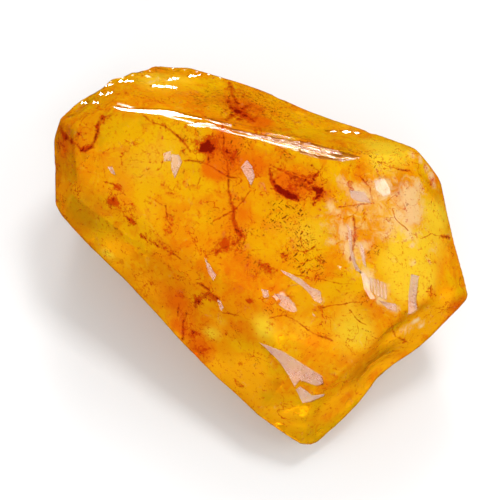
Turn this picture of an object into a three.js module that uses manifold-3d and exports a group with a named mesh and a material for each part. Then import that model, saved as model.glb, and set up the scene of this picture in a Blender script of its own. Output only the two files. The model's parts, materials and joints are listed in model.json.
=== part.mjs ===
// Rough sapphire: one see-through yellow-orange crystal, worn but still faceted, lying on its flat back.
// Millimetres, +Z up. The long axis runs along +X. The origin is the middle of the stone's bounding box as
// seen from above, at the height of the face that it rests on.
import * as THREE from "three";
import { TessellateModifier } from "three/addons/modifiers/TessellateModifier.js";
import { mergeVertices } from "three/addons/utils/BufferGeometryUtils.js";
import Module from "manifold-3d";

const wasm = await Module();
wasm.setup();

// ---- Driving dimensions -------------------------------------------------------------------------------
const STONE_LENGTH = 41; // along +X, from the narrow left end to the blunt right end
const HEART_TO_BACK = 8.9; // the resting face lies this far under the heart of the stone
const EDGE_WEAR = 0.1; // how far the edges between two faces are rubbed down
const BLUNT_ANGLE = 22; // faces that turn less than this, in degrees, keep their edge
const MESH_STEP = 2; // no mesh edge of the faceted body is longer
const BACK_TRIM = 0.35; // cut off the back, so that it comes out flat
const CUTTER_SIZE = 90; // cutting blocks are larger than the stone

// ---- Crystal faces ------------------------------------------------------------------------------------
// A face looks along turn (about +Z, from +X) and lift (above the horizontal), in degrees, and stands reach
// away from the heart of the stone.
const face = (turn, lift, reach) => ({ normal: direction(turn, lift), reach });

const FRONT = face(-73, 74, 9.6); // broad front face
const ROOF = face(119, 46, 13.6); // long roof face, behind the ridge
const FACES = [
  FRONT,
  ROOF,
  face(0, -90, HEART_TO_BACK + BACK_TRIM), // back
  face(174, 46, 20.6), // end of the roof
  face(-126, 28, 19.2), // small end face
  face(-81, 30, 10.5), // long side band
  face(-80, 41, 10.5), // and its flatter part towards the tip
  face(13, 66, 12.5), // bright face to the right of the front
  face(38, 44, 16.1), // outer right face
  face(-39, 52, 11.4), // lower front face
  face(-14, 14, 16), // steep face under the lower front
  face(-3, 21, 17.5), // and its flatter part to the right
  face(-63, 25, 13.1), // face over the tip
  // walls, which turn under towards the back: left end, roof side, right end, tip, side band
  face(-140, -14, 19.5),
  face(-170, -8, 21.9),
  face(170, -6, 21.1),
  face(164, 3, 21.4),
  face(149, -7, 20.2),
  face(133, 2, 18.6),
  face(114, -11, 14.6),
  face(114, 1, 15.2),
  face(96, -6, 14.3),
  face(65, -11, 17),
  face(62, -21, 15.8),
  face(14, -29, 17.3),
  face(1, -28, 17.7),
  face(-30, -33, 19.8),
  face(-79, -34, 14.7),
  face(-94, -33, 11.4),
  face(-99, -25, 11.4),
  face(-96, -32, 11.9),
];

// ---- Hollows and swells -------------------------------------------------------------------------------
// A hollow is a soft dish in the surface around a point, so deep and so wide.
const hollow = (turn, lift, distance, depth, width) =>
  ({ middle: direction(turn, lift).multiplyScalar(distance), depth, width });
const HOLLOWS = [
  hollow(109, 13, 15.3, 1, 6), // saddle in the roof's outer edge
  hollow(-1, -9, 17.5, 1.3, 3.1), // notch under the right end
  hollow(-127, -2, 16.2, 0.5, 2.6), // dip at the left end of the side band
  hollow(8, 62, 13, 0.35, 3.5), // dip in the bright face
  hollow(60, -20, 16.5, 0.6, 5), // dip behind the right end
];

// The faces are not quite flat: slow swells run across the stone in three directions.
const swell = (x, y, z, height, start) => ({ along: new THREE.Vector3(x, y, z), height, start });
const SWELLS = [
  swell(0.42, 0.18, -0.25, 0.09, 0.6),
  swell(-0.2, 0.55, 0.3, 0.07, 2.1),
  swell(0.65, -0.48, 0.52, 0.045, 4),
];

// ---- Chips --------------------------------------------------------------------------------------------
// A chip is a shallow shell-shaped break: its place, the radius of the break, how deep it bites, and how much
// longer it is along the edge that it broke from, which runs towards edgeTurn and edgeLift.
const chip = (turn, lift, radius, bite, stretch, edgeTurn, edgeLift) =>
  ({ out: direction(turn, lift), radius, bite, stretch, edge: direction(edgeTurn, edgeLift) });
const CHIPS = [
  // scallops along the outer rim of the roof
  chip(-171, 20, 3, 0.32, 1.3, 110, -20),
  chip(-178, 19, 2.6, 0.28, 1.3, 100, -20),
  chip(174, 18, 3, 0.32, 1.3, 70, -25),
  chip(167, 15, 2.8, 0.32, 1.4, 50, -22),
  chip(160, 12, 3, 0.3, 1.4, 45, -18),
  // right end and tip
  chip(6, 12, 4, 0.22, 1.6, -70, 20),
  chip(-34, 8, 4, 0.22, 1.6, 60, 30),
  // rim of the back
  chip(118, -28, 9, 0.6, 1.5, 30, 0),
  chip(82, -33, 8, 0.5, 1.4, 0, 0),
  chip(-150, -26, 8, 0.5, 1.4, 120, 0),
  chip(-20, -36, 7, 0.5, 1.5, 60, 0),
];
const CHIP_DETAIL = 5;
const EDGE_FOCUS = 40; // how near an edge a place counts as being on it

// ---- Growth steps -------------------------------------------------------------------------------------
// Narrow flats cut along the ridge between the front and the roof: how far below the sharp ridge line each
// one lies, and how it leans about the ridge, in degrees.
const RIDGE_STEPS = [
  { depth: 0.42, lean: 9 },
  { depth: 0.3, lean: -13 },
];

// ---- Geometry helpers ---------------------------------------------------------------------------------
function direction(turn, lift) {
  const t = THREE.MathUtils.degToRad(turn);
  const l = THREE.MathUtils.degToRad(lift);
  return new THREE.Vector3(Math.cos(l) * Math.cos(t), Math.cos(l) * Math.sin(t), Math.sin(l));
}

// Shared corners are merged, and the normals and texture coordinates dropped.
function weld(geometry) {
  geometry.deleteAttribute("normal");
  geometry.deleteAttribute("uv");
  return mergeVertices(geometry, 1e-4);
}

function toSolid(geometry) {
  const welded = weld(geometry);
  return new wasm.Manifold(new wasm.Mesh({
    numProp: 3,
    vertProperties: new Float32Array(welded.attributes.position.array),
    triVerts: new Uint32Array(welded.index.array),
  }));
}

function toGeometry(solid) {
  const mesh = solid.getMesh();
  const geometry = new THREE.BufferGeometry();
  geometry.setAttribute("position", new THREE.BufferAttribute(mesh.vertProperties, 3));
  geometry.setIndex(new THREE.BufferAttribute(mesh.triVerts, 1));
  return geometry;
}

// A cube whose top is centred on point and looks along normal, with one side along the line given.
function blockUnder(point, normal, along) {
  const place = new THREE.Matrix4()
    .makeBasis(along, normal.clone().cross(along), normal)
    .setPosition(point.clone().addScaledVector(normal, -CUTTER_SIZE / 2));
  return toSolid(new THREE.BoxGeometry(CUTTER_SIZE, CUTTER_SIZE, CUTTER_SIZE).applyMatrix4(place));
}

// Everything behind a crystal face.
function behind({ normal, reach }) {
  const helper = Math.abs(normal.z) < 0.9 ? new THREE.Vector3(0, 0, 1) : new THREE.Vector3(1, 0, 0);
  const along = helper.cross(normal).normalize();
  return blockUnder(normal.clone().multiplyScalar(reach), normal, along);
}

// ---- Edges between the faces --------------------------------------------------------------------------
// The line where two faces meet.
function meetingLine(a, b) {
  const along = a.normal.clone().cross(b.normal);
  const point = b.normal.clone().cross(along).multiplyScalar(a.reach)
    .add(along.clone().cross(a.normal).multiplyScalar(b.reach))
    .divideScalar(along.lengthSq());
  return { point, along: along.normalize() };
}

// Whether some of that line lies on the stone: it is clipped by every other face.
function isEdge(a, b) {
  const { point, along } = meetingLine(a, b);
  let from = -CUTTER_SIZE;
  let to = CUTTER_SIZE;
  for (const { normal, reach } of FACES.filter((f) => f !== a && f !== b)) {
    const slope = normal.dot(along);
    const cut = (reach - normal.dot(point)) / slope;
    if (slope > 0) to = Math.min(to, cut);
    else from = Math.max(from, cut);
  }
  return to > from;
}

// The narrow flat that wear leaves along an edge.
function wornFlat(a, b) {
  const normal = a.normal.clone().add(b.normal).normalize();
  return { normal, reach: meetingLine(a, b).point.dot(normal) - EDGE_WEAR };
}

function wornFlats() {
  const bluntAngle = THREE.MathUtils.degToRad(BLUNT_ANGLE);
  const flats = [];
  for (const [i, a] of FACES.entries()) {
    for (const b of FACES.slice(i + 1)) {
      if (a.normal.angleTo(b.normal) > bluntAngle && isEdge(a, b)) flats.push(wornFlat(a, b));
    }
  }
  return flats;
}

const ALL_FACES = [...FACES, ...wornFlats()];

// ---- The faceted body ---------------------------------------------------------------------------------
// How far the hollows and the swells lower the surface at a point.
function lowering(point) {
  const dishes = HOLLOWS.reduce(
    (sum, h) => sum + h.depth * Math.exp(-point.distanceToSquared(h.middle) / h.width ** 2), 0);
  const waves = SWELLS.reduce((sum, s) => sum + s.height * Math.sin(s.along.dot(point) + s.start), 0);
  return dishes + waves;
}

function facetedBody() {
  const flat = ALL_FACES.map(behind).reduce((body, block) => body.intersect(block));
  const body = weld(new TessellateModifier(MESH_STEP, 24).modify(toGeometry(flat)));
  const position = body.attributes.position;
  const point = new THREE.Vector3();
  for (let i = 0; i < position.count; i++) {
    point.fromBufferAttribute(position, i);
    point.setLength(point.length() - lowering(point));
    position.setXYZ(i, point.x, point.y, point.z);
  }
  return toSolid(body);
}

// ---- Cutters ------------------------------------------------------------------------------------------
// Where a line from the heart leaves the stone, and which way the surface looks there: near an edge, between
// the faces that meet in it.
function surfaceAt(out) {
  const shares = FACES.map((f) => Math.max(f.normal.dot(out) / f.reach, 0));
  const point = out.clone().divideScalar(Math.max(...shares));
  const normal = new THREE.Vector3();
  FACES.forEach((f, i) => normal.addScaledVector(f.normal, shares[i] ** EDGE_FOCUS));
  return { point, normal: normal.normalize() };
}

// The break of a chip: a ball drawn out along the edge, reaching its bite below the surface.
function chipCutter({ out, radius, bite, stretch, edge }) {
  const { point, normal } = surfaceAt(out);
  const along = edge.clone().addScaledVector(normal, -edge.dot(normal)).normalize();
  const across = normal.clone().cross(along);
  const middle = point.clone().addScaledVector(out, -lowering(point)).addScaledVector(normal, radius - bite);
  const place = new THREE.Matrix4().makeBasis(
    along.multiplyScalar(radius * stretch),
    across.multiplyScalar(radius),
    normal.multiplyScalar(radius),
  ).setPosition(middle);
  return toSolid(new THREE.IcosahedronGeometry(1, CHIP_DETAIL).applyMatrix4(place));
}

// Everything above the flat of a growth step.
function ridgeCutter({ depth, lean }) {
  const { point, along } = meetingLine(FRONT, ROOF);
  const up = FRONT.normal.clone().add(ROOF.normal).normalize()
    .applyAxisAngle(along, THREE.MathUtils.degToRad(lean));
  return blockUnder(point.addScaledVector(up, -depth), up.negate(), along);
}

// ---- The stone ----------------------------------------------------------------------------------------
function stoneGeometry() {
  const cutters = [...CHIPS.map(chipCutter), ...RIDGE_STEPS.map(ridgeCutter)];
  const carved = cutters.reduce((body, cutter) => body.subtract(cutter), facetedBody());
  const geometry = toGeometry(carved.intersect(behind(face(0, -90, HEART_TO_BACK))));
  geometry.computeBoundingBox();
  const { min, max } = geometry.boundingBox;
  const scale = STONE_LENGTH / (max.x - min.x);
  geometry.translate(-(min.x + max.x) / 2, -(min.y + max.y) / 2, -min.z);
  return geometry.scale(scale, scale, scale);
}

const stone = new THREE.Mesh(
  stoneGeometry(),
  new THREE.MeshStandardMaterial({ color: "#e59a1c", roughness: 0.12, metalness: 0 }),
);
stone.name = "stone";

const roughSapphire = new THREE.Group();
roughSapphire.add(stone);

export default roughSapphire;
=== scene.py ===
import json
import math
import random

import bpy
import numpy as np
from mathutils import Matrix, Vector, noise
from mathutils.bvhtree import BVHTree

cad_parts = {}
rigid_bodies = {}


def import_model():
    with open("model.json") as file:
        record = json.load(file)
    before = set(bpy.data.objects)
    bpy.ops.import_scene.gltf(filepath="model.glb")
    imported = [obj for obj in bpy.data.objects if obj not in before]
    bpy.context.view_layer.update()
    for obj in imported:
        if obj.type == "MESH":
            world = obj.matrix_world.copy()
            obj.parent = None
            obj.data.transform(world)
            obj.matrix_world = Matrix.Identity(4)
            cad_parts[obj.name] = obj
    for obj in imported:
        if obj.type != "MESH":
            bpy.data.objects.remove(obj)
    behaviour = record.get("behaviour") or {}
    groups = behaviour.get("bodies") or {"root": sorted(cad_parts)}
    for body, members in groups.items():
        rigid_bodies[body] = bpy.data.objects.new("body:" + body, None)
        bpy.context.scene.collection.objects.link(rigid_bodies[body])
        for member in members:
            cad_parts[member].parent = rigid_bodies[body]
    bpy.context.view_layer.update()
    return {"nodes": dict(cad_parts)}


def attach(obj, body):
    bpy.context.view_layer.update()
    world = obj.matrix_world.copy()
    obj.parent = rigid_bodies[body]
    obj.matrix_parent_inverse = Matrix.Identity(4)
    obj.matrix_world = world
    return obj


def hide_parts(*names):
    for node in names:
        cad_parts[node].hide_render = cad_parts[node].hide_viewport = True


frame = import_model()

MM = 0.001

# ---- The view ----
# Places on the stone are given on the view grid: steps to the right and down from its upper left corner.
AZIMUTH = math.radians(43)
ELEVATION = math.radians(70)
RIGHT = Vector((math.cos(AZIMUTH), math.sin(AZIMUTH), 0))
TOWARD = Vector((math.sin(AZIMUTH) * math.cos(ELEVATION),
                 -math.cos(AZIMUTH) * math.cos(ELEVATION),
                 math.sin(ELEVATION)))
UP = TOWARD.cross(RIGHT)
LENS = 250
SENSOR = 36
VIEW_CLIP = (0.01, 10)
VIEW_STEP = 0.1 * MM
VIEW_MIDDLE = 250
STONE_IN_VIEW = (260.5, 254.5)  # where the middle of the stone lies on the view grid
DISTANCE = 2 * VIEW_MIDDLE * VIEW_STEP * LENS / SENSOR


def middle_in_view(points):
    """The middle of the stone's box, measured along the view's own axes."""
    middle = Vector()
    for axis in (RIGHT, UP, TOWARD):
        along = points @ np.array(axis)
        middle += axis * (along.min() + along.max()) / 2
    return middle


def vectors(items, name):
    flat = np.empty(len(items) * 3)
    items.foreach_get(name, flat)
    return flat.reshape(-1, 3)


STONE_MIDDLE = middle_in_view(vectors(frame["nodes"]["stone"].data.vertices, "co"))
AIM = (STONE_MIDDLE - RIGHT * (STONE_IN_VIEW[0] - VIEW_MIDDLE) * VIEW_STEP
       + UP * (STONE_IN_VIEW[1] - VIEW_MIDDLE) * VIEW_STEP)
EYE = AIM + TOWARD * DISTANCE


def add_camera():
    data = bpy.data.cameras.new("camera")
    data.lens = LENS
    data.sensor_width = SENSOR
    data.clip_start, data.clip_end = VIEW_CLIP
    camera = bpy.data.objects.new("camera", data)
    camera.location = EYE
    camera.rotation_euler = TOWARD.to_track_quat("Z", "Y").to_euler()
    bpy.context.scene.collection.objects.link(camera)
    bpy.context.scene.camera = camera


def view_line(x, y):
    """Direction from the eye through a point of the view grid."""
    point = AIM + RIGHT * (x - VIEW_MIDDLE) * VIEW_STEP + UP * (VIEW_MIDDLE - y) * VIEW_STEP
    return (point - EYE).normalized()


# ---- Studio ----
FLOOR_SIZE = 2.4
FLOOR_GAP = 0.1 * MM  # between the stone's back and the floor's surface
FLOOR_GREY = 0.64
FLOOR_ROUGHNESS = 0.9
LIGHT_DISTANCE = 0.9
ROOM_LIGHT = 0.9
SCRIM_GAP = 0.02  # the key scrim hangs this share of the distance in front of the key softbox
UNDER_LIGHT_SIZE = (0.044, 0.031)
UNDER_LIGHT_POWER = 0.0023


def direction(turn, lift):
    """Turn is about +Z from +X, lift above the horizontal, in degrees."""
    turn, lift = math.radians(turn), math.radians(lift)
    return Vector((math.cos(lift) * math.cos(turn), math.cos(lift) * math.sin(turn), math.sin(lift)))


def lamp_place(turn, lift):
    return STONE_MIDDLE + direction(turn, lift) * LIGHT_DISTANCE


KEY_LAMP = lamp_place(130, 41)
KEY_SCRIM = lamp_place(139, 41)  # beside the key softbox, on its scrim
EYE_LAMP = lamp_place(-35, 64)
NO_LAMP = lamp_place(-35, 80)
# Name, place, size, power in watts, and whether the stone mirrors it.
SOFTBOXES = [
    ("key softbox", KEY_LAMP, (0.12, 0.09), 0.9, True),
    ("key scrim", KEY_LAMP - (KEY_LAMP - STONE_MIDDLE) * SCRIM_GAP, (0.3, 0.3), 1.7, True),
    ("shade softbox", lamp_place(100, 66), (0.2, 0.2), 3.3, False),
    ("front fill", lamp_place(-50, 32), (0.5, 0.5), 2.6, False),
    ("right fill", lamp_place(30, 34), (0.5, 0.5), 2.2, False),
    ("eye softbox", EYE_LAMP, (0.15, 0.15), 0.34, True),
]


def add_floor():
    bpy.ops.mesh.primitive_plane_add(size=FLOOR_SIZE, location=(0, 0, -FLOOR_GAP))
    floor = bpy.context.object
    floor.name = "floor"
    material = bpy.data.materials.new("pale floor")
    material.use_nodes = True
    shader = material.node_tree.nodes["Principled BSDF"]
    shader.inputs["Base Color"].default_value = (FLOOR_GREY, FLOOR_GREY, FLOOR_GREY, 1)
    shader.inputs["Roughness"].default_value = FLOOR_ROUGHNESS
    floor.data.materials.append(material)
    floor.visible_glossy = False


def add_lamp(name, place, turn, size, power, mirrored, seen_through):
    data = bpy.data.lights.new(name, "AREA")
    data.shape = "RECTANGLE"
    data.size, data.size_y = size
    data.energy = power
    lamp = bpy.data.objects.new(name, data)
    lamp.location = place
    lamp.rotation_euler = turn
    lamp.visible_camera = False
    lamp.visible_glossy = mirrored
    lamp.visible_transmission = seen_through
    bpy.context.scene.collection.objects.link(lamp)


def add_under_light():
    """The light that a see-through stone lets down to the floor, and that comes back up through it."""
    place, turn = (0, 0, -FLOOR_GAP / 2), (math.pi, 0, 0)
    add_lamp("under light", place, turn, UNDER_LIGHT_SIZE, UNDER_LIGHT_POWER, False, True)


def add_room_light():
    world = bpy.data.worlds.new("studio")
    world.use_nodes = True
    background = world.node_tree.nodes["Background"]
    background.inputs["Color"].default_value = (1, 1, 1, 1)
    background.inputs["Strength"].default_value = ROOM_LIGHT
    bpy.context.scene.world = world
    world.cycles_visibility.glossy = False


def add_studio():
    bpy.context.scene.view_settings.view_transform = "Standard"
    add_camera()
    add_room_light()
    add_floor()
    add_under_light()
    for name, place, size, power, mirrored in SOFTBOXES:
        turn = (place - STONE_MIDDLE).to_track_quat("Z", "Y").to_euler()
        add_lamp(name, place, turn, size, power, mirrored, mirrored)


# ---- Mesh helpers ----
def select_only(piece):
    bpy.ops.object.select_all(action="DESELECT")
    piece.select_set(True)
    bpy.context.view_layer.objects.active = piece


def apply_modifiers(piece):
    select_only(piece)
    for modifier in list(piece.modifiers):
        bpy.ops.object.modifier_apply(modifier=modifier.name)


def edit_mesh(piece, *steps, select="SELECT"):
    select_only(piece)
    bpy.ops.object.mode_set(mode="EDIT")
    if select:
        bpy.ops.mesh.select_all(action=select)
    for step in steps:
        step()
    bpy.ops.object.mode_set(mode="OBJECT")


def surface_tree(piece):
    return BVHTree.FromObject(piece, bpy.context.evaluated_depsgraph_get())


def surface_finder(piece):
    tree = surface_tree(piece)

    def surface_under(x, y):
        return tree.ray_cast(EYE, view_line(x, y))[0]

    return surface_under


def random_vector(rng):
    return Vector((rng.gauss(0, 1), rng.gauss(0, 1), rng.gauss(0, 1)))


# ---- The stone's body ----
MERGE_GAP = 0.002 * MM
FINE_STEP = 0.22 * MM
RUB_SHARE = 0.5
RUB_TIMES = 3


def fine_copy(node):
    """A merged copy of the CAD stone, remeshed finely enough to carry the small relief."""
    stone = node.copy()
    stone.data = node.data.copy()
    stone.name = "sapphire_body"
    for key in [k for k in stone.keys() if k.startswith("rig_")]:
        del stone[key]
    stone.parent = None
    bpy.context.scene.collection.objects.link(stone)
    edit_mesh(stone, lambda: bpy.ops.mesh.remove_doubles(threshold=MERGE_GAP))
    remesh = stone.modifiers.new("fine mesh", "REMESH")
    remesh.mode = "VOXEL"
    remesh.voxel_size = FINE_STEP
    remesh.use_smooth_shade = True
    rub = stone.modifiers.new("rubbed", "SMOOTH")
    rub.factor = RUB_SHARE
    rub.iterations = RUB_TIMES
    apply_modifiers(stone)
    return stone


# Relief of the worn surface: cell size and height of each layer of bumps.
RELIEF = [(2.6 * MM, 0.05 * MM), (0.9 * MM, 0.02 * MM)]


def wear(stone):
    for size, height in RELIEF:
        texture = bpy.data.textures.new("wear", "CLOUDS")
        texture.noise_scale = size
        texture.noise_depth = 1
        displace = stone.modifiers.new("wear", "DISPLACE")
        displace.texture = texture
        displace.texture_coords = "LOCAL"
        displace.strength = height
        displace.mid_level = 0.5
    apply_modifiers(stone)
    points = vectors(stone.data.vertices, "co")
    points[:, 2] = np.maximum(points[:, 2], 0)  # it stays flat where it rests
    stone.data.vertices.foreach_set("co", points.ravel())
    stone.data.update()


# ---- Broken flats ----
# Rows of flats: the share of its outline that a flat leaves below it, whether the break is dull, and the
# outlines on the view grid. A flat mirrors its lamp, and lies just below the lowest surface in its outline.
USUAL_SHARE = 0.17
KEY_FLATS = [
    (USUAL_SHARE, False, [  # ridge
        [(113, 106.5), (123, 107), (141, 107.8), (163.5, 108.9), (175, 110.7), (186, 113.8), (202, 117),
         (202, 119.5), (184, 117), (165.7, 115.6), (145.5, 113.2), (123, 110.6), (113, 109.6)],
        [(186, 125), (193, 123), (200, 122), (212, 123.5), (219, 126), (210, 127.2), (198, 127)],
    ]),
    (0.35, False, [  # rim
        [(117.5, 81), (120, 79.5), (122.5, 79.3), (123, 81.8), (119, 82.6)],
        [(123.6, 79.2), (128, 79), (129, 81), (126, 82.4), (123.8, 81.8)],
        [(129.6, 79.4), (133, 80), (135, 81.2), (131.5, 82.4), (129.4, 81.6)],
        [(186.5, 76.4), (190, 74.6), (192, 74.6), (191.5, 77), (188, 77.6)],
        [(192.7, 74.4), (196.5, 73.6), (197, 76.2), (194, 77.2), (192.4, 76.8)],
        [(197.8, 73.8), (202, 74), (200.5, 75.6), (197.8, 76)],
        [(149, 86), (153, 84.6), (156.5, 84.4), (157, 87), (152, 87.6)],
        [(157.6, 84.5), (164, 84.6), (165, 87.6), (158, 87.4)],
        [(165.7, 84.8), (172, 85.8), (172, 88.4), (166, 87.8)],
        [(172.8, 86), (178, 87), (175, 88.6), (172.8, 88.3)],
        [(97.5, 94), (101, 92.2), (103.4, 92), (104, 94.8), (100, 95.4)],
        [(104.3, 92), (109, 91.6), (109, 94.6), (105, 95.8)],
        [(109.8, 91.5), (113.5, 91.3), (112, 93.4), (109.8, 94)],
        [(79.5, 102.4), (82.5, 101), (84, 101.4), (83.5, 103.6), (81, 104)],
        [(84.8, 101.2), (88, 101.2), (90, 102.8), (86.5, 104), (84.6, 103.4)],
        [(91.5, 101.6), (94.5, 100.6), (96, 101), (95, 103.2), (92.5, 103)],
        [(96.5, 101), (99, 102), (99.5, 103.6), (96.4, 103.4)],
        [(166.5, 79.6), (169.5, 78), (171.5, 77.8), (171.8, 80.4), (168, 80.9)],
        [(172.4, 77), (176, 77), (176.5, 79.6), (172.8, 80.4)],
        [(177.2, 77.4), (180, 78.6), (177.4, 79.6)],
        [(101, 86.4), (104, 84.8), (107, 84.4), (107, 86.4), (103, 87.4)],
        [(107.7, 84.2), (112, 83.2), (113.5, 84.4), (109, 86)],
    ]),
    (USUAL_SHARE, False, [  # roof edge
        [(324, 130.3), (332, 130), (338, 131), (332, 132.4), (326, 132)],
        [(339, 130.2), (346, 130), (352, 131.3), (347, 133.6), (340, 132)],
        [(352.8, 131.5), (358, 132), (361, 133.5), (356, 134)],
    ]),
]
EYE_FLATS = [
    (0.1, True, [  # front
        [(163.5, 153), (170.5, 151), (172, 161), (164, 161.5)],
        [(171.5, 154), (179, 155), (182.5, 162), (175, 179), (171, 168)],
        [(247, 160), (252, 166), (255, 176.5), (251.5, 186.5), (244, 173), (241, 167)],
        [(107.5, 167), (112, 166.5), (116, 175), (112, 174)],
        [(204, 256.5), (208, 262), (216.5, 275.5), (213.5, 281), (208.5, 273)],
        [(217, 299.5), (221, 301), (224, 308), (221, 311.5)],
        [(261, 289), (268, 290), (269, 297), (264, 298)],
        [(274, 293.6), (280, 294.4), (288, 297), (294.5, 303.5), (299.5, 316.5), (292, 312), (284, 308.8),
         (278.6, 304.5), (281, 301), (277, 296.6)],
        [(280, 269.8), (289, 273), (300.6, 278.8), (310.6, 286.8), (320.4, 291), (322, 301), (321, 304),
         (314.2, 300.6), (310, 294.2), (302, 286.2), (293.8, 280.6), (284, 273.8)],
        [(312, 313), (314, 314.2), (315.6, 317), (313.4, 315.8)],
    ]),
    (0, True, [  # big triangle
        [(259, 342), (283, 351), (322, 376), (324, 384), (317, 386), (300, 380.5), (294.5, 387), (289, 376),
         (279.5, 361.5), (270, 352)],
    ]),
    (0.05, True, [  # under the triangle
        [(295.5, 389), (300, 386), (306.5, 390.5), (311.5, 395), (325, 393.5), (324, 396), (311, 402),
         (302.5, 403), (298.5, 394.5)],
    ]),
    (USUAL_SHARE, False, [  # right, top
        [(374, 181), (383.5, 178.5), (390.5, 184), (390.5, 194), (384, 197), (376, 190)],
    ]),
    (USUAL_SHARE, True, [  # right
        [(349, 190), (362, 192), (371.5, 190), (371, 203), (358, 201.5), (351, 198)],
        [(347, 224), (350.5, 222), (352.5, 250), (356, 263), (362, 274), (355, 270), (350, 255)],
        [(360, 243), (363, 242), (364.5, 256), (366.5, 268), (363, 264), (360.5, 254)],
    ]),
    (USUAL_SHARE, False, [  # right, low
        [(360, 270), (365, 274), (370, 281), (371, 292), (375, 298), (371, 300), (364, 289)],
    ]),
    (USUAL_SHARE, True, [  # bars
        [(369.8, 277), (372.3, 278), (373, 293), (370.6, 291)],
        [(373.2, 278.5), (375.7, 279), (376.5, 295.5), (374, 294)],
        [(376.6, 279.5), (379.2, 280.5), (380, 297), (377.4, 296)],
        [(380.1, 281), (382.7, 282), (383.5, 299), (380.9, 297.5)],
        [(383.6, 282.5), (386.2, 284), (387, 300), (384.4, 299.3)],
    ]),
    (USUAL_SHARE, True, [  # right, edge
        [(378, 300), (388, 302.5), (396, 304), (397, 312), (388, 309)],
        [(411, 274), (419, 276), (416, 300), (419, 325), (408, 314), (408, 296)],
    ]),
]
# Where the worn edge would mirror the eye lamp: turned just clear of it.
QUIET_FLATS = [
    (USUAL_SHARE, False, [  # front
        [(264, 303), (271, 296.5), (274.5, 297.6), (276.5, 302), (268, 306)],
        [(284, 291.5), (292, 285), (301, 283.2), (304, 289), (297, 293.5), (289, 295)],
    ]),
]
# Growth steps along the ridge: rows of steps across, steps along, then the upper and the lower edge.
GROWTH_STEPS = [
    (2, 1, [(202, 116.6), (219.6, 119.7), (232, 124)],
     [(203, 119.6), (218, 123.6), (231, 127.4)]),
    (2, 4, [(226, 127), (244, 131), (259.6, 134.4), (273, 137.2), (286.7, 139.2), (300, 141.5)],
     [(227, 131), (246, 136.8), (263.5, 141), (279, 145.6), (292.6, 149.4), (301, 153)]),
    (5, 3, [(298, 141.4), (308, 142), (319.7, 143.6), (331.3, 148.6), (350.7, 154.3), (361, 157)],
     [(298, 152.5), (304, 155), (315.8, 158.4), (331.3, 160.4), (343, 161.8), (355, 159.5)]),
]
STEP_STAGGER = 0.35  # how far the ends of the growth steps stray, as a share of a step's length
STEP_SLANT = 0.3
STEP_OVERLAP = 0.01
ROW_OVERLAP = 0.02
CUT_DEPTH = 0.015 * MM
CUT_TALL = 3 * MM
PLANE_GAP = 0.002 * MM
SAME_WAY = 0.9999  # the least cosine between a flat's normal and that of a face on it
SMOOTH_ANGLE = math.radians(32)


def mirror_normal(point, lamp):
    """The normal of a flat at point that shows the eye the lamp."""
    return ((EYE - point).normalized() + (lamp - point).normalized()).normalized()


def meet(x, y, normal, height):
    """Where the line of sight through a grid point meets the plane normal . p = height."""
    line = view_line(x, y)
    return EYE + line * (height - normal.dot(EYE)) / normal.dot(line)


def between(start, end, share):
    return start[0] + (end[0] - start[0]) * share, start[1] + (end[1] - start[1]) * share


def clamp(share):
    return min(max(share, 0), 1)


def line_point(places, share):
    """The point at a share of the way along a line on the view grid."""
    spot = clamp(share) * (len(places) - 1)
    index = min(int(spot), len(places) - 2)
    return between(places[index], places[index + 1], spot - index)


def growth_steps(rng):
    """Slanted steps that fill the ridge's bands: two sets of the even rows and two of the odd ones. The steps
    of one set stay clear of each other."""
    sets = [[], [], [], []]
    for band, (rows, count, upper, lower) in enumerate(GROWTH_STEPS):
        slant = STEP_SLANT / count if rows > 1 else 0
        for row in range(rows):
            above = clamp(row / rows - ROW_OVERLAP)
            below = clamp((row + 1) / rows + ROW_OVERLAP)
            joints = [(i + rng.uniform(-STEP_STAGGER, STEP_STAGGER)) / count for i in range(1, count)]
            ends = [0, *joints, 1]
            for index, (start, end) in enumerate(zip(ends, ends[1:])):
                corners = [(start - STEP_OVERLAP, above), (end + STEP_OVERLAP, above),
                           (end + slant + STEP_OVERLAP, below), (start + slant - STEP_OVERLAP, below)]
                outline = [between(line_point(upper, along), line_point(lower, along), across)
                           for along, across in corners]
                sets[2 * (row % 2) + (index + band) % 2].append(outline)
    return sets


def flat_cutter(outline, lamp, surface_under, share):
    """A block whose bottom is the flat, and whose sides run toward the eye."""
    found = [p for p in (surface_under(x, y) for x, y in outline) if p]
    normal = mirror_normal(sum(found, Vector()) / len(found), lamp)
    heights = sorted(normal.dot(p) for p in found)
    height = heights[int(len(heights) * share)] - CUT_DEPTH
    bpy.ops.object.select_all(action="DESELECT")
    bpy.ops.mesh.primitive_circle_add(vertices=len(outline), radius=MM, fill_type="NGON")
    cutter = bpy.context.object
    edit_mesh(cutter, lambda: bpy.ops.mesh.extrude_region_move(TRANSFORM_OT_translate={"value": (0, 0, MM)}))
    corners = [meet(x, y, normal, height) for x, y in outline]
    # the circle's own corners come first, and the extruded ones after them
    for vertex, corner in zip(cutter.data.vertices, corners + [c + TOWARD * CUT_TALL for c in corners]):
        vertex.co = corner - cutter.location
    edit_mesh(cutter, lambda: bpy.ops.mesh.normals_make_consistent(inside=False))
    return cutter, normal, height


def cut(stone, cutters):
    """Takes a set of blocks that stay clear of each other out of the stone."""
    bpy.ops.object.select_all(action="DESELECT")
    for cutter in cutters:
        cutter.select_set(True)
    bpy.context.view_layer.objects.active = cutters[0]
    bpy.ops.object.join()
    boolean = stone.modifiers.new("break", "BOOLEAN")
    boolean.operation = "DIFFERENCE"
    boolean.solver = "MANIFOLD"
    boolean.object = cutters[0]
    apply_modifiers(stone)
    bpy.data.objects.remove(cutters[0])


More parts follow.
